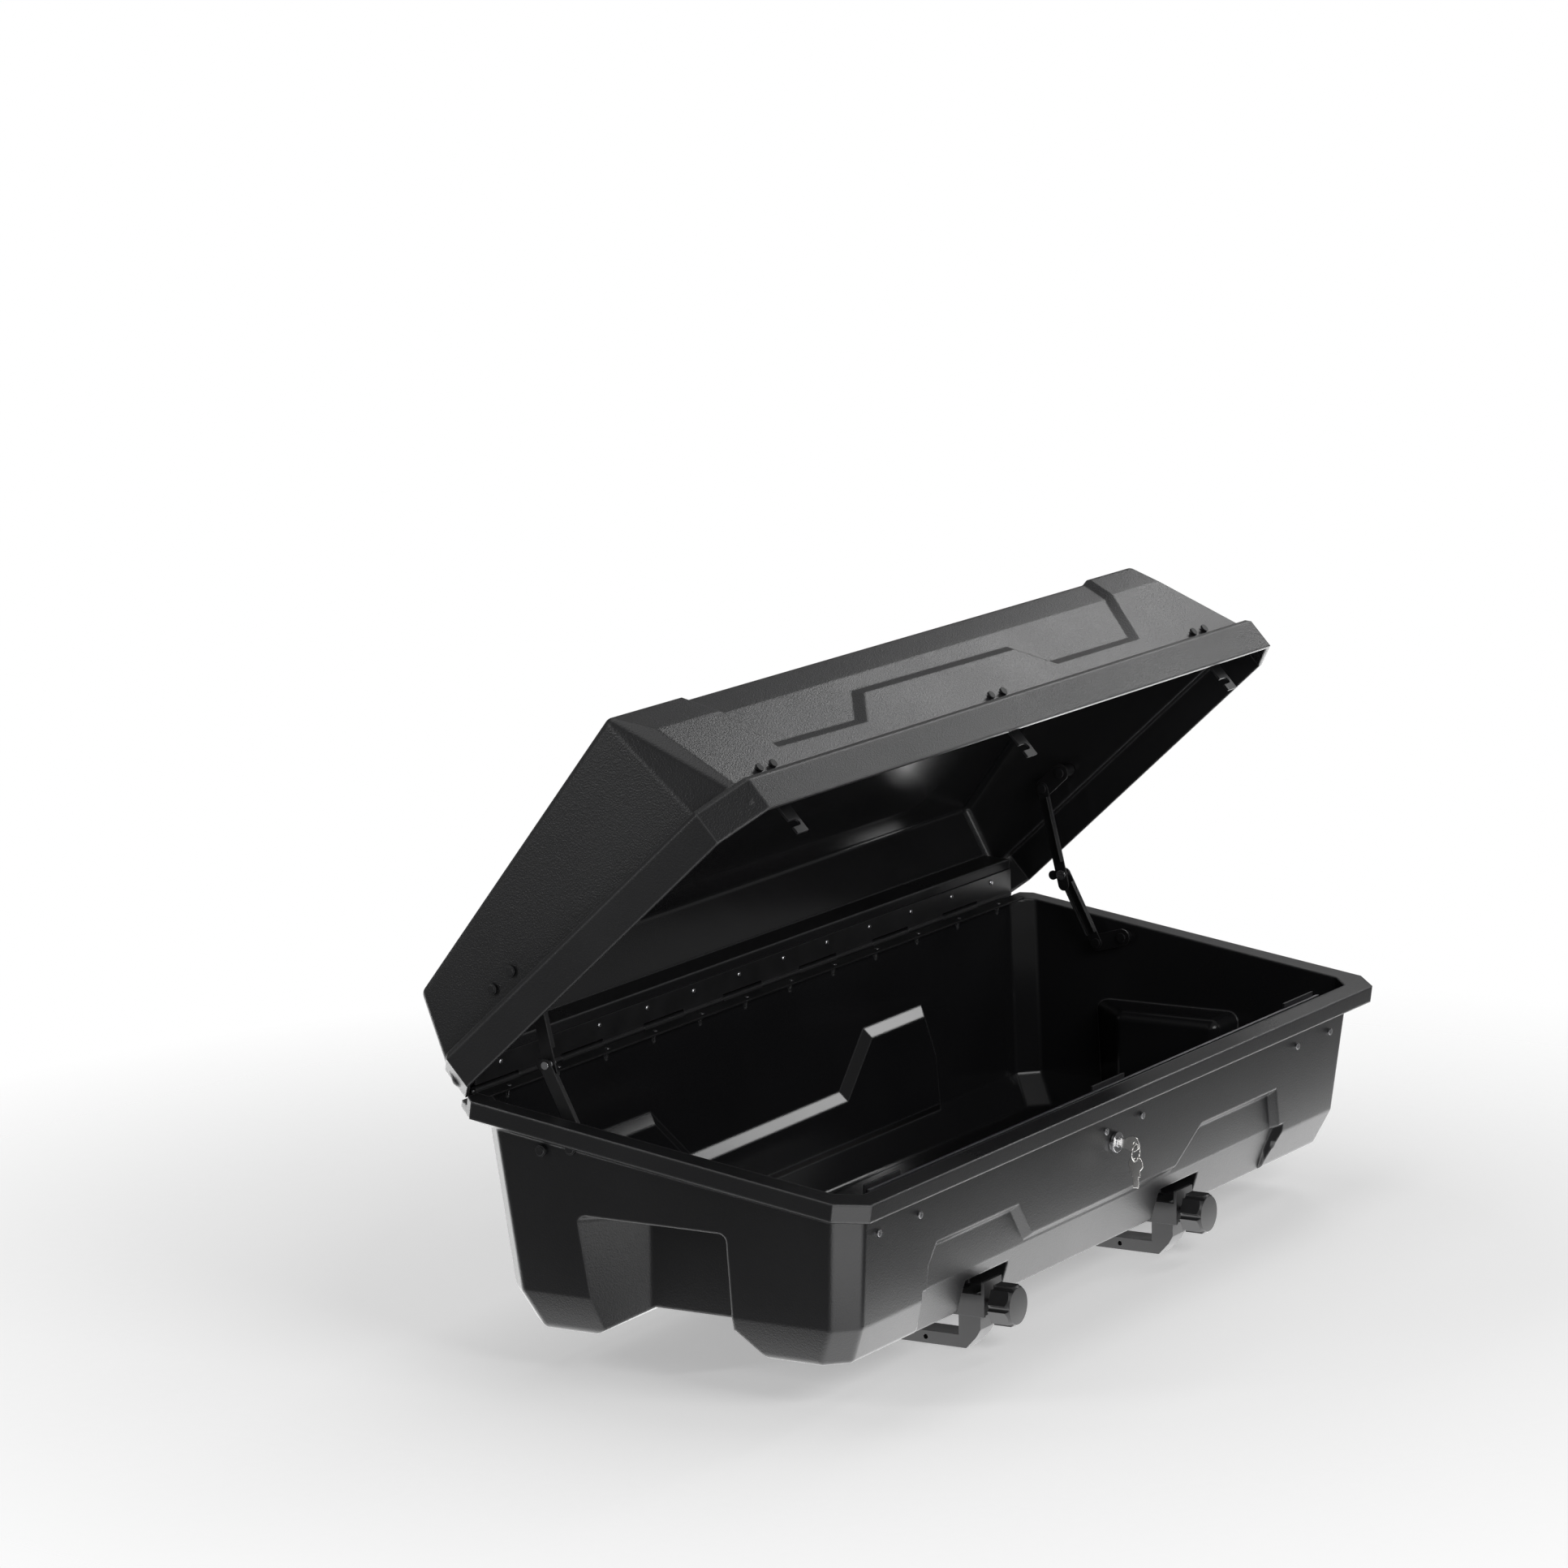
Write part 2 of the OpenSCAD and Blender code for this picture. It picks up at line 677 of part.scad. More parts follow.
// elbow rivet, made in two halves that meet between the links
module stay_elbow_rivet(s) {
    on_side(s) {
        rod_x(elbow_r, elbow_x + 0.1, lower_x + link_t + 1, elbow_y, elbow_z);
        rod_x(elbow_r + 2, elbow_x + 0.1, lower_x - face_gap, elbow_y, elbow_z);
        rod_x(elbow_r + 2, lower_x + link_t + face_gap, lower_x + link_t + 1, elbow_y,
              elbow_z);
    }
}

module stay_elbow_head(s) {
    on_side(s) {
        rod_x(elbow_r, upper_x - 0.5, elbow_x, elbow_y, elbow_z);
        rod_x(elbow_r + 2, upper_x + link_t + face_gap, elbow_x, elbow_y, elbow_z);
        rod_x(7, upper_x - 2.4, upper_x - face_gap, elbow_y, elbow_z);
    }
}

// ---------------------------------------------------------------- latch

// sheet hook: sloped foot on the lid face, leg down, mouth opening to -X
module latch_hook(x) {
    lid_frame() translate([x, 0, 0]) difference() {
        union() {
            along_x(-25, 25)
                polygon([[-hook_u, 46], [-hook_u - hook_t, 46], [-hook_u - hook_t, 72.2],
                         [-hook_u, 79]]);
            translate([-hook_half, -hook_u - hook_t, -28]) cube([2 * hook_half, hook_t, 75]);
            translate([-25, -hook_u - hook_t, 40]) cube([50, hook_t, 8]);
        }
        translate([-hook_half - 1, -hook_u - hook_t - 1, mouth_v - mouth_h / 2])
            cube([hook_half + 3, hook_t + 2, mouth_h]);
        translate([2, -hook_u - hook_t - 1, mouth_v]) rotate([-90, 0, 0])
            cylinder(r = mouth_h / 2, h = hook_t + 2, $fn = 32);
        for (s = [-1, 1]) translate([s * 15.5, -hook_u + 20, 60]) rotate([90, 0, 0])
            cylinder(r = 3.1, h = 40, $fn = 24);
    }
}

module latch_hook_bolts() {
    color("#2b2b2d") lid_frame() for (x = hook_bolt_x())
        translate([x, 0, 60]) {
            rod_y(3, -546.2, -hook_u + 4, 0, 0, 24);
            rod_y(5.5, -549.3, -546.1, 0, 0, 24);
            rod_y(5, -hook_u + 0.1, -hook_u + 4, 0, 0, 6);
        }
}

// riveted bracket whose shelf and upstand guide the latch bar
module latch_catch(x) {
    wall_in = front_y0 - tub_wall;
    shelf_z = bar_z - 4.5;
    difference() {
        union() {
            intersection() {
                front_wall_frame() translate([x - 56, 146, -tub_wall - 3])
                    cube([112, shelf_z - 142, 3 - 0.1]);
                translate([x - 60, -300, 0]) cube([120, 200, shelf_z + 3]);
            }
            translate([x - 42, -wall_in - front_draft * shelf_z + 1, shelf_z])
                cube([84, 24, 3]);
            translate([x - 42, bar_y + bar_t + 1, shelf_z]) cube([84, 3, 34]);
        }
        for (s = [-1, 1]) rod_y(rivet_r, -260, -225, x + s * catch_span / 2, catch_z, 24);
        if (abs(x) < 100) {
            translate([lock_x - 17, bar_y - 1, shelf_z - 1]) cube([48, bar_t + 1.5, 6]);
            rod_y(15, -255, -235, lock_x, lock_z, 32);
        }
    }
}

module latch_catch_rivets() {
    color("#77777a") for (x = rivet_x()) {
        rod_y(rivet_r, -252.4, -239, x, catch_z, 24);
        rod_y(4.5, -254.2, -252.3, x, catch_z, 24);
        rod_y(4, -241, -238.6, x, catch_z, 24);
    }
}

module latch_bar() {
    color("#55565a") difference() {
        union() {
            translate([-bar_len / 2, bar_y, bar_z]) cube([bar_len, bar_t, bar_h]);
            translate([lock_x - 15, bar_y, 133]) cube([30, bar_t, bar_z - 132]);
            for (x = hook_x)
                rod_y(latch_pin_r, mouth_y - 6, bar_y + eps, x + pin_rest, mouth_z);
        }
        translate([lock_x - cam_r * sin(45) - 2.5, bar_y - 1, lock_z + 3])
            cube([5, bar_t + 2, 12]);
    }
}

module lock_housing() {
    color("#a9a9ac") difference() {
        union() {
            rod_y(9.5, -lock_face - 1.7, -240, lock_x, lock_z, 48);
            rod_y(13, -lock_face - 6, -lock_face - 1.6, lock_x, lock_z, 48);
        }
        rod_y(plug_r + run_gap, -300, -200, lock_x, lock_z, 48);
    }
}

module lock_nut() {
    color("#8d8d90") difference() {
        rod_y(13, -242.7, -239.7, lock_x, lock_z, 6);
        rod_y(9.6, -260, -230, lock_x, lock_z, 48);
    }
}

// plug with the cam and its drive pin
module lock_plug() {
    a = 45;
    color("#c4c4c7") difference() {
        union() {
            rod_y(plug_r, -lock_face - 7, cam_y, lock_x, lock_z, 48);
            translate([lock_x, cam_y, lock_z]) rotate([0, -a, 0]) {
                rotate([-90, 0, 0]) cylinder(r = 6.5, h = 2.2, $fn = 48);
                translate([-3.5, 0, 0]) cube([7, 2.2, cam_r]);
                translate([0, 0, cam_r]) rotate([-90, 0, 0])
                    cylinder(r = 3.5, h = 2.2, $fn = 32);
                translate([0, 0, cam_r]) rotate([-90, 0, 0])
                    cylinder(r = 2, h = bar_y + bar_t - cam_y + 1, $fn = 32);
            }
        }
        translate([lock_x - 1.2, -lock_face - 8, lock_z - 4.2]) cube([2.4, 14, 8.4]);
    }
}

// flat key: round bow with a hole, blade to +Y
module key_outline() {
    difference() {
        union() {
            circle(r = 10, $fn = 64);
            translate([0, -3.8]) square([key_out - 6, 7.6]);
            translate([7, -6]) square([9, 12]);
        }
        translate([-4.5, 0]) circle(r = 3, $fn = 32);
    }
}

module lock_key() {
    color("#cfcfd1") translate([lock_x - 1.1, key_hole_y + 4.5, lock_z])
        along_x(0, 2.2) key_outline();
}

// split ring standing square to the bow
module key_ring() {
    color("#d4d4d6") translate([lock_x, key_hole_y, lock_z - ring_r])
        rotate([90, 0, 0]) rotate_extrude($fn = 96)
            translate([ring_r, 0]) circle(r = 1.1, $fn = 24);
}

module spare_key() {
    color("#cfcfd1") translate([lock_x - 1.1, key_hole_y, lock_z - 2 * ring_r])
        rotate([-90, 0, 0]) translate([0, 0, 0]) along_x(0, 2.2)
            translate([4.5, 0]) key_outline();
}

// ---------------------------------------------------------------- clamps

module clamp_body(xc) {
    difference() {
        translate([xc, 0, 0]) union() {
            for (s = [-1, 1]) on_side(s) {
                translate([cheek_x, front_plate_y, seat_z])
                    cube([cheek_t, tab_y + tab_t - front_plate_y, 28]);
                translate([21.5, tab_y, seat_z]) cube([3.5, slab_end - tab_y, -seat_z - 0.2]);
            }
            translate([-22, front_plate_y, -10]) cube([44, 4, 42]);
            translate([-22, tab_y, seat_z]) cube([44, tab_t, 28]);
            translate([-25, tab_y, -5]) cube([50, slab_end - tab_y, 4.8]);
            along_x(-21, 21)
                polygon([
                    [slab_end, -0.2], [slab_end, jaw_z + 6], [slab_end - 6, jaw_z],
                    [slab_end - 44, jaw_z], [slab_end - 50, jaw_z + 6],
                    [slab_end - 50, lip_top], [slab_end - 12, lip_top], [slab_end - 12, -0.2]
                ]);
        }
        rod_y(screw_r + run_gap, -260, -160, xc, screw_z);
        rod_y(9, tab_y + tab_t, tab_y + tab_t + 5, xc, screw_z);
        for (p = clamp_bolt_sites())
            translate([p[0], p[1], -20]) cylinder(r = clamp_bolt_r + 0.1, h = 30, $fn = 32);
    }
}

// sliding jaw: upright on the screw, hooked foot under the rail
module clamp_jaw(xc) {
    difference() {
        along_x(xc - 17.5, xc + 17.5)
            polygon([
                [jaw_rear, 16], [jaw_front + 5, 16], [jaw_front, 11], [jaw_front, -29],
                [jaw_front + 6, -39], [jaw_front + 20, jaw_z], [-116, jaw_z],
                [-110, jaw_z + 6], [-110, lip_top], [jaw_rear, lip_top]
            ]);
        rod_y(screw_r + run_gap, -260, -160, xc, screw_z);
        rod_x(7 + run_gap, xc - 30, xc + 30, -211, screw_z);
        rod_x(3, xc - 30, xc + 30, -150, jaw_z + 8);
    }
}

module clamp_screw(xc) {
    color("#9b9b9e") union() {
        rod_y(screw_r, -262, tab_y + tab_t + 4, xc, screw_z);
        rod_y(8, tab_y + tab_t + 0.5, tab_y + tab_t + 3.5, xc, screw_z, 32);
    }
}

// six-lobed knob with bevelled front and rear edges
module clamp_knob(xc) {
    r = knob_d / 2;
    back = front_plate_y - 1;
    front = -269;
    color("#3b3b3d") difference() {
        intersection() {
            rod_y(r, front, back, xc, screw_z, 6);
            rod_y(r * 0.955, front, back, xc, screw_z, 64);
            translate([xc, front, screw_z]) rotate([-90, 0, 0])
                cylinder(r1 = r * 0.8, r2 = r * 1.5, h = r, $fn = 64);
            translate([xc, back, screw_z]) rotate([90, 0, 0])
                cylinder(r1 = r * 0.86, r2 = r * 1.6, h = r * 1.2, $fn = 64);
        }
        rod_y(screw_r + eps, -262.1, back + 1, xc, screw_z);
        for (a = [0 : 60 : 300]) translate([xc, 0, screw_z]) rotate([0, a, 0])
            rod_y(4, front - 1, back + 1, r * 0.866 + 2.2, 0, 24);
    }
}

module clamp_barrel_nut(xc) {
    color("#c9c9cc") difference() {
        rod_x(7, xc - 17.6, xc + 17.6, -211, screw_z);
        rod_y(screw_r + run_gap, -240, -190, xc, screw_z);
    }
}

module rail_pad(xc) {
    color("#1b1b1c") difference() {
        translate([xc - 18, -108, seat_z - 0.2]) cube([36, 216, -seat_z - 5]);
        for (y = [-60, 60]) translate([xc, y, seat_z - 1]) cylinder(r = 4, h = 3, $fn = 32);
    }
}

module clamp_bolts() {
    color("#b9b9bc") for (p = clamp_bolt_sites()) translate([p[0], p[1], 0]) {
        translate([0, 0, -13]) cylinder(r = clamp_bolt_r, h = 21, $fn = 32);
        translate([0, 0, 8.1]) cylinder(r1 = 8, r2 = 5, h = 3.5, $fn = 32);
        translate([0, 0, 7.9]) cylinder(r = clamp_bolt_r, h = 1, $fn = 32);
    }
}

module clamp_nuts() {
    color("#b9b9bc") for (p = clamp_bolt_sites()) translate([p[0], p[1], -11.4]) difference() {
        cylinder(r = 7.5, h = 6.3, $fn = 6);
        translate([0, 0, -1]) cylinder(r = clamp_bolt_r + run_gap, h = 9, $fn = 32);
    }
}

module floor_plates() {
    color("#6d6d70") for (xc = clamp_pos, y = clamp_bolt_y) difference() {
        translate([xc - 30, y - 13, 5.1]) cube([60, 26, 2.9]);
        for (s = [-1, 1]) translate([xc + s * clamp_bolt_x, y, 0])
            cylinder(r = clamp_bolt_r + 0.1, h = 20, $fn = 32);
    }
}

// ---------------------------------------------------------------- left and right

module stay_base_left() { color("#262628") stay_base(-1); }
module stay_base_right() { color("#262628") stay_base(1); }
module stay_lower_link_left() { color("#2c2c2e") stay_lower_link(-1); }
module stay_lower_link_right() { color("#2c2c2e") stay_lower_link(1); }
module stay_upper_link_left() { color("#333335") stay_upper_link(-1); }
module stay_upper_link_right() { color("#333335") stay_upper_link(1); }
module stay_lid_bracket_left() { color("#262628") stay_lid_bracket(-1); }
module stay_lid_bracket_right() { color("#262628") stay_lid_bracket(1); }
module stay_elbow_rivet_left() { color("#9a9a9d") stay_elbow_rivet(-1); }
module stay_elbow_rivet_right() { color("#9a9a9d") stay_elbow_rivet(1); }
module stay_elbow_head_left() { color("#9a9a9d") stay_elbow_head(-1); }
module stay_elbow_head_right() { color("#9a9a9d") stay_elbow_head(1); }
module latch_hook_left() { color("#303033") latch_hook(hook_x[0]); }
module latch_hook_centre() { color("#303033") latch_hook(hook_x[1]); }
module latch_hook_right() { color("#303033") latch_hook(hook_x[2]); }
module latch_catch_left() { color("#3a3a3d") latch_catch(catch_x[0]); }
module latch_catch_centre() { color("#3a3a3d") latch_catch(catch_x[1]); }
module latch_catch_right() { color("#3a3a3d") latch_catch(catch_x[2]); }
module clamp_body_left() { color("#242426") clamp_body(clamp_left_x); }
module clamp_body_right() { color("#242426") clamp_body(clamp_right_x); }
module clamp_jaw_left() { color("#2e2e30") clamp_jaw(clamp_left_x); }
module clamp_jaw_right() { color("#2e2e30") clamp_jaw(clamp_right_x); }

// ---------------------------------------------------------------- nodes

tub_shell();
lid_shell();
hinge_tub_leaf();
hinge_lid_leaf();
hinge_pin();
hinge_tub_rivets();
hinge_lid_rivets();
stay_base_left();
stay_base_right();
stay_lower_link_left();
stay_lower_link_right();
stay_upper_link_left();
stay_upper_link_right();
stay_lid_bracket_left();
stay_lid_bracket_right();
stay_tub_bolts();
stay_lid_bolts();
stay_elbow_rivet_left();
stay_elbow_rivet_right();
stay_elbow_head_left();
stay_elbow_head_right();
latch_hook_left();
latch_hook_centre();
latch_hook_right();
latch_hook_bolts();
latch_catch_left();
latch_catch_centre();
latch_catch_right();
latch_catch_rivets();
latch_bar();
lock_housing();
lock_nut();
lock_plug();
lock_key();
key_ring();
spare_key();
clamp_body_left();
clamp_body_right();
clamp_jaw_left();
clamp_jaw_right();
clamp_screw(clamp_left_x);  // clamp_screw_left
clamp_screw(clamp_right_x);  // clamp_screw_right
clamp_knob(clamp_left_x);  // clamp_knob_left
clamp_knob(clamp_right_x);  // clamp_knob_right
clamp_barrel_nut(clamp_left_x);  // clamp_barrel_nut_left
clamp_barrel_nut(clamp_right_x);  // clamp_barrel_nut_right
rail_pad(clamp_left_x);  // rail_pad_left
rail_pad(clamp_right_x);  // rail_pad_right
clamp_bolts();
clamp_nuts();
floor_plates();
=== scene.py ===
"""Hitch cargo carrier: looks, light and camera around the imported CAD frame."""
import json
import math

import bpy
from mathutils import Matrix, Vector


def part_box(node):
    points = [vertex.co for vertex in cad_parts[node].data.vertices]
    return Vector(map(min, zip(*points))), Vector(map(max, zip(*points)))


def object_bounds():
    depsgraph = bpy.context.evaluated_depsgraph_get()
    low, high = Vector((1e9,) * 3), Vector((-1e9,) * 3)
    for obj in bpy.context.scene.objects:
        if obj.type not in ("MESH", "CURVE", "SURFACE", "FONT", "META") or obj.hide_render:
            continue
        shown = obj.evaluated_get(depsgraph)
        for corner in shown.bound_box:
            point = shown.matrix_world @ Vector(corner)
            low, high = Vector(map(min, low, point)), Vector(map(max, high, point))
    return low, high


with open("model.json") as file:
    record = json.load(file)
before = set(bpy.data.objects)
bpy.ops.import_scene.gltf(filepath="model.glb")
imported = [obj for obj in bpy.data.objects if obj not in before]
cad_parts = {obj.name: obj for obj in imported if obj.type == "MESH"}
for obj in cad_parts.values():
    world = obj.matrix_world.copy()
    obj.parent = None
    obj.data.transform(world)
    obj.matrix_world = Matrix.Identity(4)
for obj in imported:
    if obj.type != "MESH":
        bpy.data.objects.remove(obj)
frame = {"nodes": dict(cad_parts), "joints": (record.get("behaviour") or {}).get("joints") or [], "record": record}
cad_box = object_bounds()
nodes = frame["nodes"]
scene = bpy.context.scene

# metres
RIM_RISE, RIM_RUN = 0.08, 0.56
ABOVE_RIM = 0.06
LID_HALF_DEPTH = 0.27
BELOW_LID = 0.06
SHELL_ROUNDING = 0.0045
# edge mask radius for the plastic: edges inside it get rubbed wear plus a painted highlight, and lower roughness
EDGE_WEAR_AND_HIGHLIGHT = 0.004
FLOOR_SIZE = 12
FLOOR_GAP = 0.0005
WORLD_SEEN, WORLD_FILL = 1.0, 0.16
FLOOR_GLOW = 0.35
PATCH_DIM, PATCH_BRIGHT = 0.12, 2.6
# degrees
VIEW_AZIMUTH, VIEW_ELEVATION, VIEW_ROLL = -59.2422, 10.2624, -1.0412
WELD_REACH = 1e-5
FLAT_ANGLE, BEVEL_ANGLE = 0.4, 16.0
# millimetres, and metres
SENSOR_WIDTH, LENS = 36.0, 147.07
AIM_RIGHT, AIM_UP, VIEW_DISTANCE = -0.2033, 0.5615, 8.1023


# ---------------------------------------------------------------- node helpers


class Graph:
    """Short calls for building one material's node tree."""

    def __init__(self, name):
        self.mat = bpy.data.materials.new(name)
        self.mat.use_nodes = True
        self.tree = self.mat.node_tree
        self.tree.nodes.clear()
        self.out = self.add("ShaderNodeOutputMaterial")
        self.bsdf = self.add("ShaderNodeBsdfPrincipled")
        self.link(self.bsdf.outputs[0], self.out.inputs[0])
        self.coord = self.add("ShaderNodeTexCoord")

    def add(self, kind, **settings):
        node = self.tree.nodes.new(kind)
        for key, value in settings.items():
            setattr(node, key, value)
        return node

    def link(self, a, b):
        self.tree.links.new(a, b)

    def put(self, socket, value):
        if isinstance(value, bpy.types.NodeSocket):
            self.link(value, socket)
        else:
            socket.default_value = value

    def math(self, op, a, b=0.0, clamp=False):
        node = self.add("ShaderNodeMath", operation=op, use_clamp=clamp)
        self.put(node.inputs[0], a)
        self.put(node.inputs[1], b)
        return node.outputs[0]

    def vector(self, op, a, b=(0, 0, 0)):
        node = self.add("ShaderNodeVectorMath", operation=op)
        self.put(node.inputs[0], a)
        self.put(node.inputs[1], b)
        return node

    def noise(self, scale, detail=3.0, rough=0.5, vector=None):
        node = self.add("ShaderNodeTexNoise")
        node.inputs["Scale"].default_value = scale
        node.inputs["Detail"].default_value = detail
        node.inputs["Roughness"].default_value = rough
        self.link(vector or self.coord.outputs["Object"], node.inputs["Vector"])
        return node.outputs[0]

    def cells(self, scale):
        node = self.add("ShaderNodeTexVoronoi", feature="SMOOTH_F1")
        node.inputs["Scale"].default_value = scale
        node.inputs["Smoothness"].default_value = 0.6
        self.link(self.coord.outputs["Object"], node.inputs["Vector"])
        return node.outputs["Distance"]

    def span(self, value, low, high, to_low, to_high):
        node = self.add("ShaderNodeMapRange")
        for i, v in enumerate((value, low, high, to_low, to_high)):
            self.put(node.inputs[i], v)
        return node.outputs[0]

    def blend(self, factor, a, b):
        node = self.add("ShaderNodeMix", data_type="RGBA")
        self.put(node.inputs[0], factor)
        self.put(node.inputs[6], a if isinstance(a, bpy.types.NodeSocket) else (*a, 1))
        self.put(node.inputs[7], b if isinstance(b, bpy.types.NodeSocket) else (*b, 1))
        return node.outputs[2]

    def edges(self, radius=0.0015, gain=6.0):
        """0 on flats, rising to 1 along sharp edges."""
        bevel = self.add("ShaderNodeBevel", samples=4)
        bevel.inputs["Radius"].default_value = radius
        geo = self.add("ShaderNodeNewGeometry")
        dot = self.vector("DOT_PRODUCT", bevel.outputs[0], geo.outputs["Normal"])
        return self.math("MULTIPLY", self.math("SUBTRACT", 1.0, dot.outputs["Value"]),
                         gain, clamp=True)

    def bump(self, height, strength, distance, rounding=0.0008):
        """Fine relief laid over edges that shade as if rounded."""
        rounded = self.add("ShaderNodeBevel", samples=6)
        rounded.inputs["Radius"].default_value = rounding
        node = self.add("ShaderNodeBump")
        self.link(rounded.outputs[0], node.inputs["Normal"])
        node.inputs["Strength"].default_value = strength
        node.inputs["Distance"].default_value = distance
        self.put(node.inputs["Height"], height)
        return node.outputs[0]

    def finish(self, color, rough, metallic=0.0, normal=None, spec=0.5):
        s = self.bsdf.inputs
        self.put(s["Base Color"], color)
        self.put(s["Roughness"], rough)
        s["Metallic"].default_value = metallic
        s["Specular IOR Level"].default_value = spec
        if normal is not None:
            self.link(normal, s["Normal"])
        return self.mat


def moulded(name, centre, dark, edge_tone, rough_out, rough_in, grain):
    """Grained black plastic outside, smooth glossy black inside, split by which way
    the surface faces from a point in the middle of the hollow."""
    g = Graph(name)
    to_centre = g.vector("SUBTRACT", tuple(centre), g.coord.outputs["Object"])
    to_centre = g.vector("NORMALIZE", to_centre.outputs[0])
    facing = g.vector("DOT_PRODUCT", to_centre.outputs[0], g.coord.outputs["Normal"])
    inside = g.span(facing.outputs["Value"], 0.16, 0.24, 0.0, 1.0)
    cloud = g.noise(5.0, 4.0)
    fine = g.noise(420.0, 2.0)
    cell = g.cells(520.0)
    edge = g.edges(EDGE_WEAR_AND_HIGHLIGHT, 5.0)
    tone = g.blend(g.span(cloud, 0.3, 0.7, 0.0, 1.0), dark, tuple(c * 1.35 for c in dark))
    # lift sharp edges towards a pale grey: partly real rubbed wear, partly a painted highlight along the rim edges
    tone = g.blend(g.math("MULTIPLY", edge, 0.6), tone, edge_tone)
    out_r = g.math("ADD", rough_out, g.math("MULTIPLY", g.math("SUBTRACT", cloud, 0.5), 0.12))
    out_r = g.math("ADD", out_r, g.math("MULTIPLY", g.math("SUBTRACT", fine, 0.5), 0.10))
    out_r = g.math("SUBTRACT", out_r, g.math("MULTIPLY", edge, 0.20))
    in_r = g.math("ADD", rough_in, g.math("MULTIPLY", g.noise(3.0, 5.0), 0.10))
    mix = g.add("ShaderNodeMix", data_type="FLOAT")
    g.put(mix.inputs[0], inside)
    g.put(mix.inputs[2], out_r)
    g.put(mix.inputs[3], in_r)
    height = g.math("ADD", g.math("MULTIPLY", cell, 0.7), g.math("MULTIPLY", fine, 0.5))
    height = g.math("MULTIPLY", height, g.math("SUBTRACT", 1.0, inside))
    height = g.math("ADD", height, g.math("MULTIPLY", g.noise(9.0, 2.0), 0.9))
    normal = g.bump(height, grain, 0.0006, SHELL_ROUNDING)
    return g.finish(tone, mix.outputs[0], normal=normal, spec=0.5)


def coated(name, base, rough, edge_tone=(0.16, 0.16, 0.165)):
    """Powder-coated or black-plated steel with rubbed edges."""
    g = Graph(name)
    cloud = g.noise(30.0, 4.0)
    fine = g.noise(900.0, 2.0)
    edge = g.math("MULTIPLY", g.edges(0.0008, 7.0), g.span(g.noise(160.0), 0.35, 0.6, 0.2, 1.0))
    tone = g.blend(g.span(cloud, 0.3, 0.7, 0.0, 1.0), base, tuple(c * 1.5 for c in base))
    tone = g.blend(g.math("MULTIPLY", edge, 0.6), tone, edge_tone)
    r = g.math("ADD", rough, g.math("MULTIPLY", g.math("SUBTRACT", cloud, 0.5), 0.2))
    r = g.math("SUBTRACT", r, g.math("MULTIPLY", edge, 0.12))
    return g.finish(tone, r, normal=g.bump(fine, 0.25, 0.0002), spec=0.55)


def metal(name, base, rough, streak=False):
    """Plated metal with fine brushing or a faint orange peel."""
    g = Graph(name)
    vec = None
    if streak:
        stretch = g.add("ShaderNodeMapping")
        stretch.inputs["Scale"].default_value = (1.0, 14.0, 14.0)
        g.link(g.coord.outputs["Object"], stretch.inputs["Vector"])
        vec = stretch.outputs[0]
    fine = g.noise(240.0, 3.0, vector=vec)
    cloud = g.noise(45.0, 3.0)
    tone = g.blend(g.span(cloud, 0.3, 0.7, 0.0, 1.0), tuple(c * 0.82 for c in base), base)
    r = g.math("ADD", rough, g.math("MULTIPLY", g.math("SUBTRACT", fine, 0.5), 0.22))
    return g.finish(tone, r, metallic=1.0, normal=g.bump(fine, 0.12, 0.0002))


def rubber(name, base):
    g = Graph(name)
    fine = g.noise(500.0, 3.0)
    cloud = g.noise(25.0, 3.0)
    tone = g.blend(cloud, base, tuple(c * 1.8 for c in base))
    return g.finish(tone, g.span(fine, 0.3, 0.7, 0.7, 0.9), normal=g.bump(fine, 0.4, 0.0003))


# ---------------------------------------------------------------- centres of the hollows

tub_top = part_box("tub_shell")[1][2]
tub_mid = Vector((0.0, 0.0, tub_top + ABOVE_RIM))
lid_joint = next(j for j in frame["joints"] if j["name"] == "lid_hinge")
hinge = Vector(lid_joint["pos_m"])
open_angle = math.radians(-lid_joint["range_deg"][0])
rim_tilt = math.atan2(RIM_RISE, RIM_RUN)
along = Vector((0, -math.cos(open_angle - rim_tilt), math.sin(open_angle - rim_tilt)))
square = Vector((0, math.sin(open_angle - rim_tilt), math.cos(open_angle - rim_tilt)))
lid_mid = hinge + along * LID_HALF_DEPTH - square * BELOW_LID

# ---------------------------------------------------------------- materials

BLACK = (0.012, 0.012, 0.013)
# pale grey that plastic edges are lifted to: rubbed wear plus a painted highlight
WORN_AND_HIGHLIGHT = (0.22, 0.22, 0.224)
mats = {
    "tub_plastic": moulded("tub_plastic", tub_mid, BLACK, WORN_AND_HIGHLIGHT, 0.36, 0.10, 0.35),
    "lid_plastic": moulded("lid_plastic", lid_mid, (0.016, 0.016, 0.017), WORN_AND_HIGHLIGHT, 0.36, 0.12, 0.55),
    "hinge_black": coated("hinge_black", (0.012, 0.012, 0.013), 0.38),
    "black_steel": coated("black_steel", (0.010, 0.010, 0.011), 0.46),
    "clamp_black": coated("clamp_black", (0.018, 0.018, 0.019), 0.40),
    "zinc_steel": metal("zinc_steel", (0.72, 0.72, 0.74), 0.28),
    "plain_steel": metal("plain_steel", (0.35, 0.35, 0.37), 0.38, streak=True),
    "lock_chrome": metal("lock_chrome", (0.80, 0.80, 0.82), 0.16),
    "key_nickel": metal("key_nickel", (0.82, 0.81, 0.79), 0.22, streak=True),
    "knob_plastic": coated("knob_plastic", (0.020, 0.020, 0.021), 0.36, (0.10, 0.10, 0.10)),
    "pad_rubber": rubber("pad_rubber", (0.012, 0.012, 0.012)),
}
slot_of = {s["node"]: s["material_slot"] for s in frame["record"]["subparts"]}

# ---------------------------------------------------------------- edges and shading


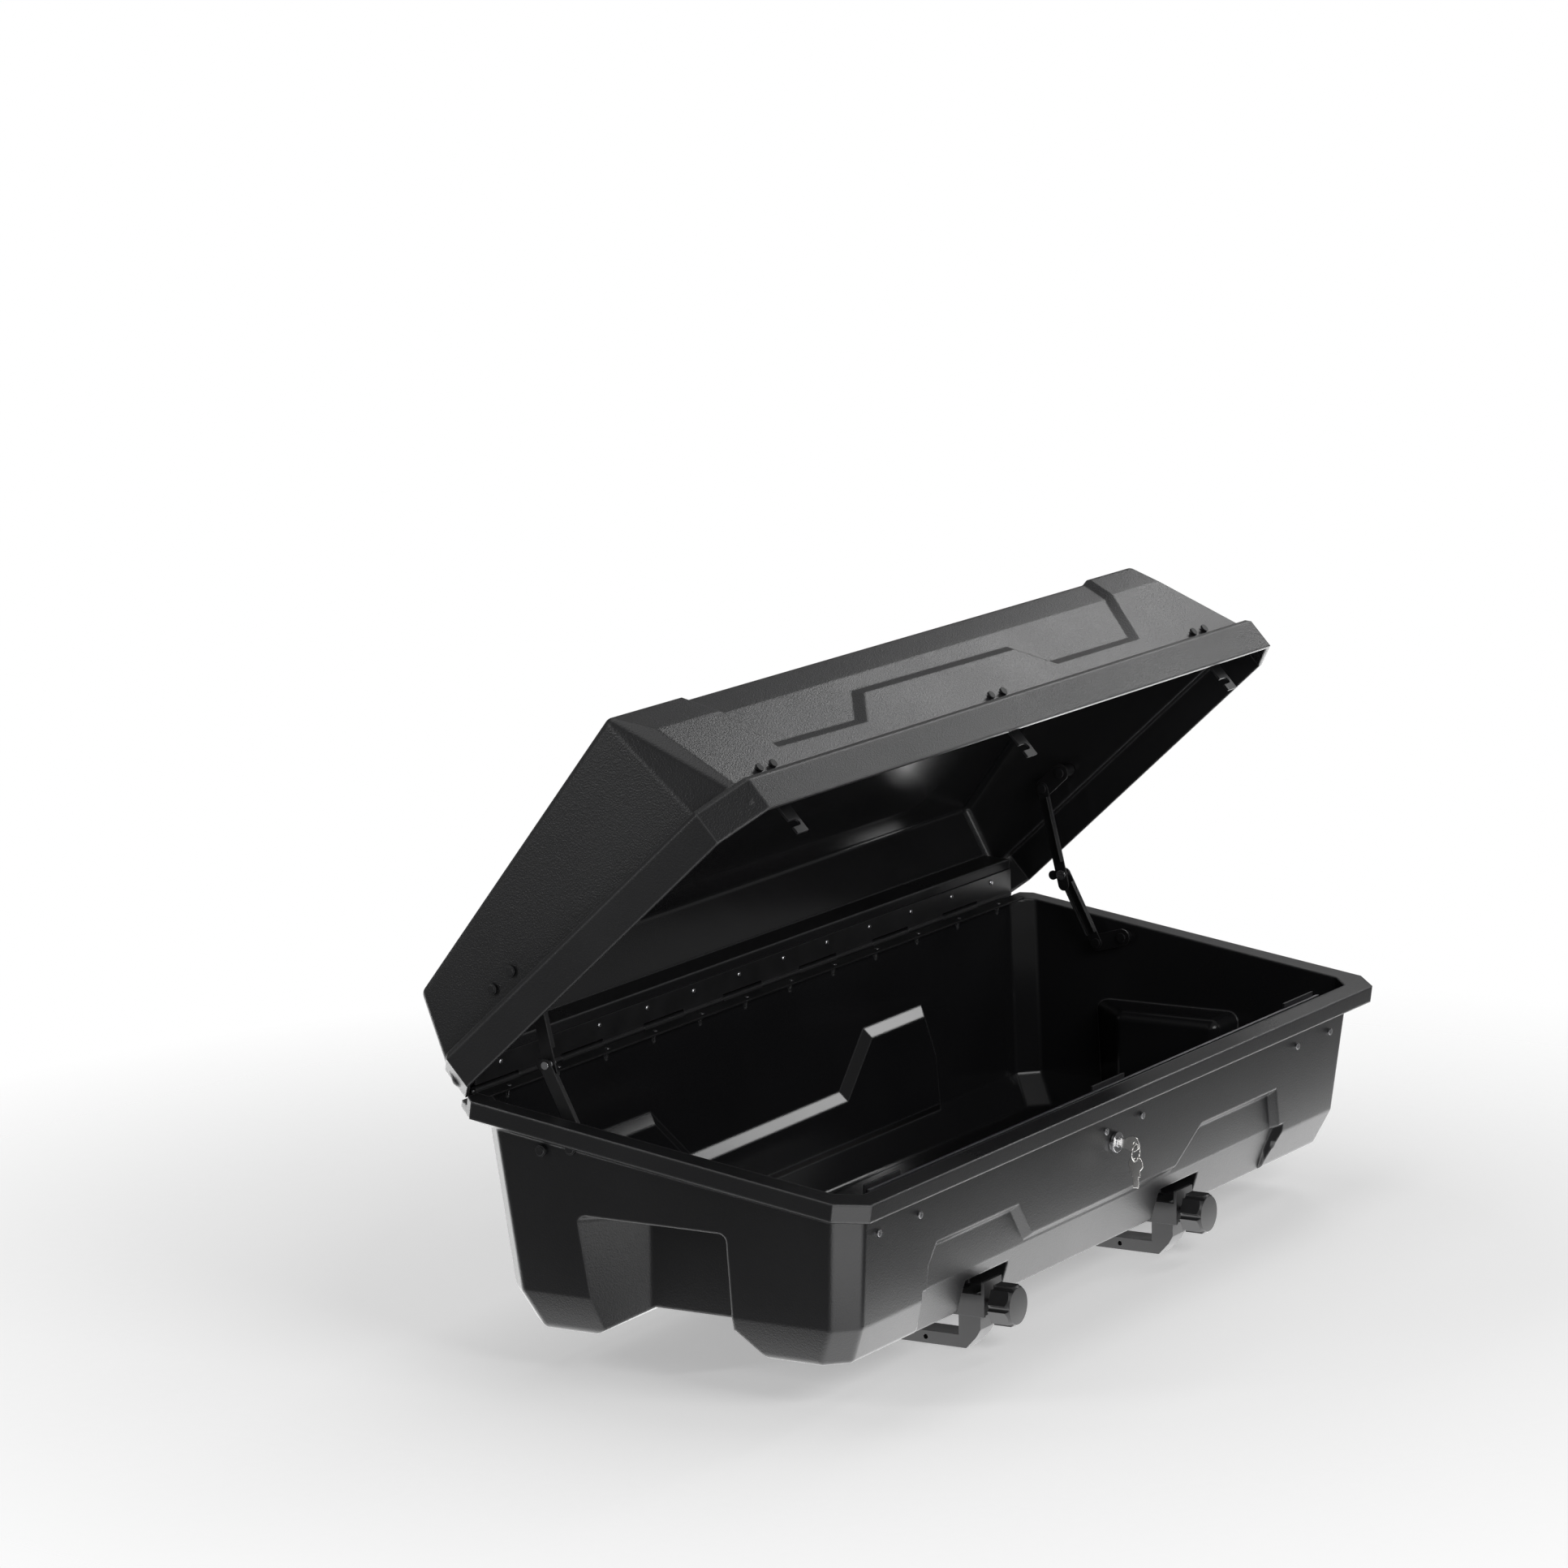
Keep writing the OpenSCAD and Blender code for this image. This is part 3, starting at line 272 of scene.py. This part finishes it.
def soften(obj, width, segments=2):
    """Clean the CAD tessellation, then round every edge sharper than BEVEL_ANGLE."""
    weld = obj.modifiers.new("weld", "WELD")
    weld.merge_threshold = WELD_REACH
    flat = obj.modifiers.new("flat", "DECIMATE")
    flat.decimate_type = "DISSOLVE"
    flat.angle_limit = math.radians(FLAT_ANGLE)
    bevel = obj.modifiers.new("bevel", "BEVEL")
    bevel.width = width
    bevel.segments = segments
    bevel.limit_method = "ANGLE"
    bevel.angle_limit = math.radians(BEVEL_ANGLE)
    bevel.harden_normals = False
    bevel.miter_outer = "MITER_ARC"
    even = obj.modifiers.new("even", "WEIGHTED_NORMAL")
    even.keep_sharp = True


BEVELS = {
    "tub_shell": 0.0022, "lid_shell": 0.0022, "clamp_body_left": 0.0008,
    "clamp_body_right": 0.0008, "clamp_jaw_left": 0.0012, "clamp_jaw_right": 0.0012,
    "clamp_knob_left": 0.0012, "clamp_knob_right": 0.0012, "rail_pad_left": 0.0008,
    "rail_pad_right": 0.0008,
}
for name, obj in nodes.items():
    obj.data.materials.clear()
    obj.data.materials.append(mats[slot_of[name]])
    for poly in obj.data.polygons:
        poly.use_smooth = True
    if name in BEVELS:
        soften(obj, BEVELS[name], 3 if name.endswith("shell") else 2)
    elif not name.startswith("hinge_pin"):
        soften(obj, 0.0003, 1)

# ---------------------------------------------------------------- floor, light, camera

low = cad_box[0][2]
bpy.ops.mesh.primitive_plane_add(size=FLOOR_SIZE, location=(0, 0, low - FLOOR_GAP))
floor = bpy.context.object
floor.name = "floor"


def paper():
    """Pale paper that fades into the pale backdrop. Mirror-like rays see it lit only in
    two patches, one under the front edge and one off the near corner."""
    g = Graph("floor_paper")
    fine = g.noise(60.0, 4.0)
    tone = g.blend(fine, (0.93, 0.93, 0.93), (0.96, 0.96, 0.96))
    g.finish(tone, g.span(fine, 0.3, 0.7, 0.8, 0.9), normal=g.bump(fine, 0.05, 0.001), spec=0.1)
    g.bsdf.inputs["Emission Color"].default_value = (1, 1, 1, 1)
    g.bsdf.inputs["Emission Strength"].default_value = FLOOR_GLOW
    where = g.add("ShaderNodeSeparateXYZ")
    g.link(g.coord.outputs["Object"], where.inputs[0])
    x, y = where.outputs[0], where.outputs[1]
    front = g.math("MULTIPLY", g.span(y, -0.41, -0.32, 0.0, 1.0),
                   g.span(x, -0.76, -0.66, 0.0, 1.0))
    corner = g.math("MULTIPLY", g.span(y, -0.30, -0.42, 0.0, 1.0),
                    g.span(x, -0.55, -0.75, 0.0, 1.0))
    patch = g.math("MAXIMUM", front, corner)
    glow = g.add("ShaderNodeEmission")
    g.link(g.span(patch, 0.0, 1.0, PATCH_DIM, PATCH_BRIGHT), glow.inputs["Strength"])
    rays = g.add("ShaderNodeLightPath")
    first = g.add("ShaderNodeMixShader")
    g.link(rays.outputs["Is Glossy Ray"], first.inputs[0])
    g.link(g.bsdf.outputs[0], first.inputs[1])
    g.link(glow.outputs[0], first.inputs[2])
    far = g.vector("LENGTH", g.coord.outputs["Object"]).outputs["Value"]
    clear = g.add("ShaderNodeBsdfTransparent")
    fade = g.add("ShaderNodeMixShader")
    g.link(g.math("MULTIPLY", g.span(far, 0.75, 1.8, 0.0, 1.0), rays.outputs["Is Camera Ray"]),
           fade.inputs[0])
    g.link(first.outputs[0], fade.inputs[1])
    g.link(clear.outputs[0], fade.inputs[2])
    g.link(fade.outputs[0], g.out.inputs[0])
    return g.mat


floor.data.materials.append(paper())

world = bpy.data.worlds.new("studio")
scene.world = world
world.use_nodes = True
wt = world.node_tree
wt.nodes.clear()
w_out = wt.nodes.new("ShaderNodeOutputWorld")
seen = wt.nodes.new("ShaderNodeBackground")
seen.inputs[0].default_value = (1, 1, 1, 1)
seen.inputs[1].default_value = WORLD_SEEN
fill = wt.nodes.new("ShaderNodeBackground")
fill.inputs[0].default_value = (1, 1, 1, 1)
fill.inputs[1].default_value = WORLD_FILL
path = wt.nodes.new("ShaderNodeLightPath")
mix = wt.nodes.new("ShaderNodeMixShader")
wt.links.new(path.outputs["Is Camera Ray"], mix.inputs[0])
wt.links.new(fill.outputs[0], mix.inputs[1])
wt.links.new(seen.outputs[0], mix.inputs[2])
wt.links.new(mix.outputs[0], w_out.inputs[0])


def softbox(name, where, look, width, height, power):
    data = bpy.data.lights.new(name, "AREA")
    data.shape = "RECTANGLE"
    data.size, data.size_y, data.energy = width, height, power
    lamp = bpy.data.objects.new(name, data)
    lamp.location = where
    lamp.rotation_euler = (Vector(look) - Vector(where)).to_track_quat("-Z", "Y").to_euler()
    scene.collection.objects.link(lamp)


softbox("key", (-1.2, -3.3, 2.3), (0, 0, 0.35), 2.4, 1.4, 40)
softbox("top", (0.0, 0.6, 3.8), (0, 0, 0.3), 3.0, 2.0, 20)
softbox("side", (3.4, 0.45, 2.6), (0, 0, 0.6), 1.1, 1.2, 13)
softbox("strip", (2.9, -0.9, 1.9), (0, -0.2, 0.25), 0.5, 1.1, 9)
softbox("left", (-2.7, 1.8, 1.7), (-0.3, 0, 0.35), 0.5, 1.6, 13)

view_az, view_el, roll = (math.radians(a) for a in
                          (VIEW_AZIMUTH, VIEW_ELEVATION, VIEW_ROLL))
toward = Vector((math.sin(view_az) * math.cos(view_el),
                 -math.cos(view_az) * math.cos(view_el), math.sin(view_el)))
right = (-toward).cross(Vector((0, 0, 1))).normalized()
up = right.cross(-toward)
right, up = (right * math.cos(roll) + up * math.sin(roll),
             up * math.cos(roll) - right * math.sin(roll))
aim = right * AIM_RIGHT + up * AIM_UP
cam_data = bpy.data.cameras.new("camera")
cam_data.sensor_width = SENSOR_WIDTH
cam_data.lens = LENS
cam_data.clip_end = 100
cam = bpy.data.objects.new("camera", cam_data)
scene.collection.objects.link(cam)
spot = aim + toward * VIEW_DISTANCE
rows = [(right[i], up[i], toward[i], spot[i]) for i in range(3)]
cam.matrix_world = Matrix(rows + [(0, 0, 0, 1)])
scene.camera = cam
scene.view_settings.view_transform = "Standard"
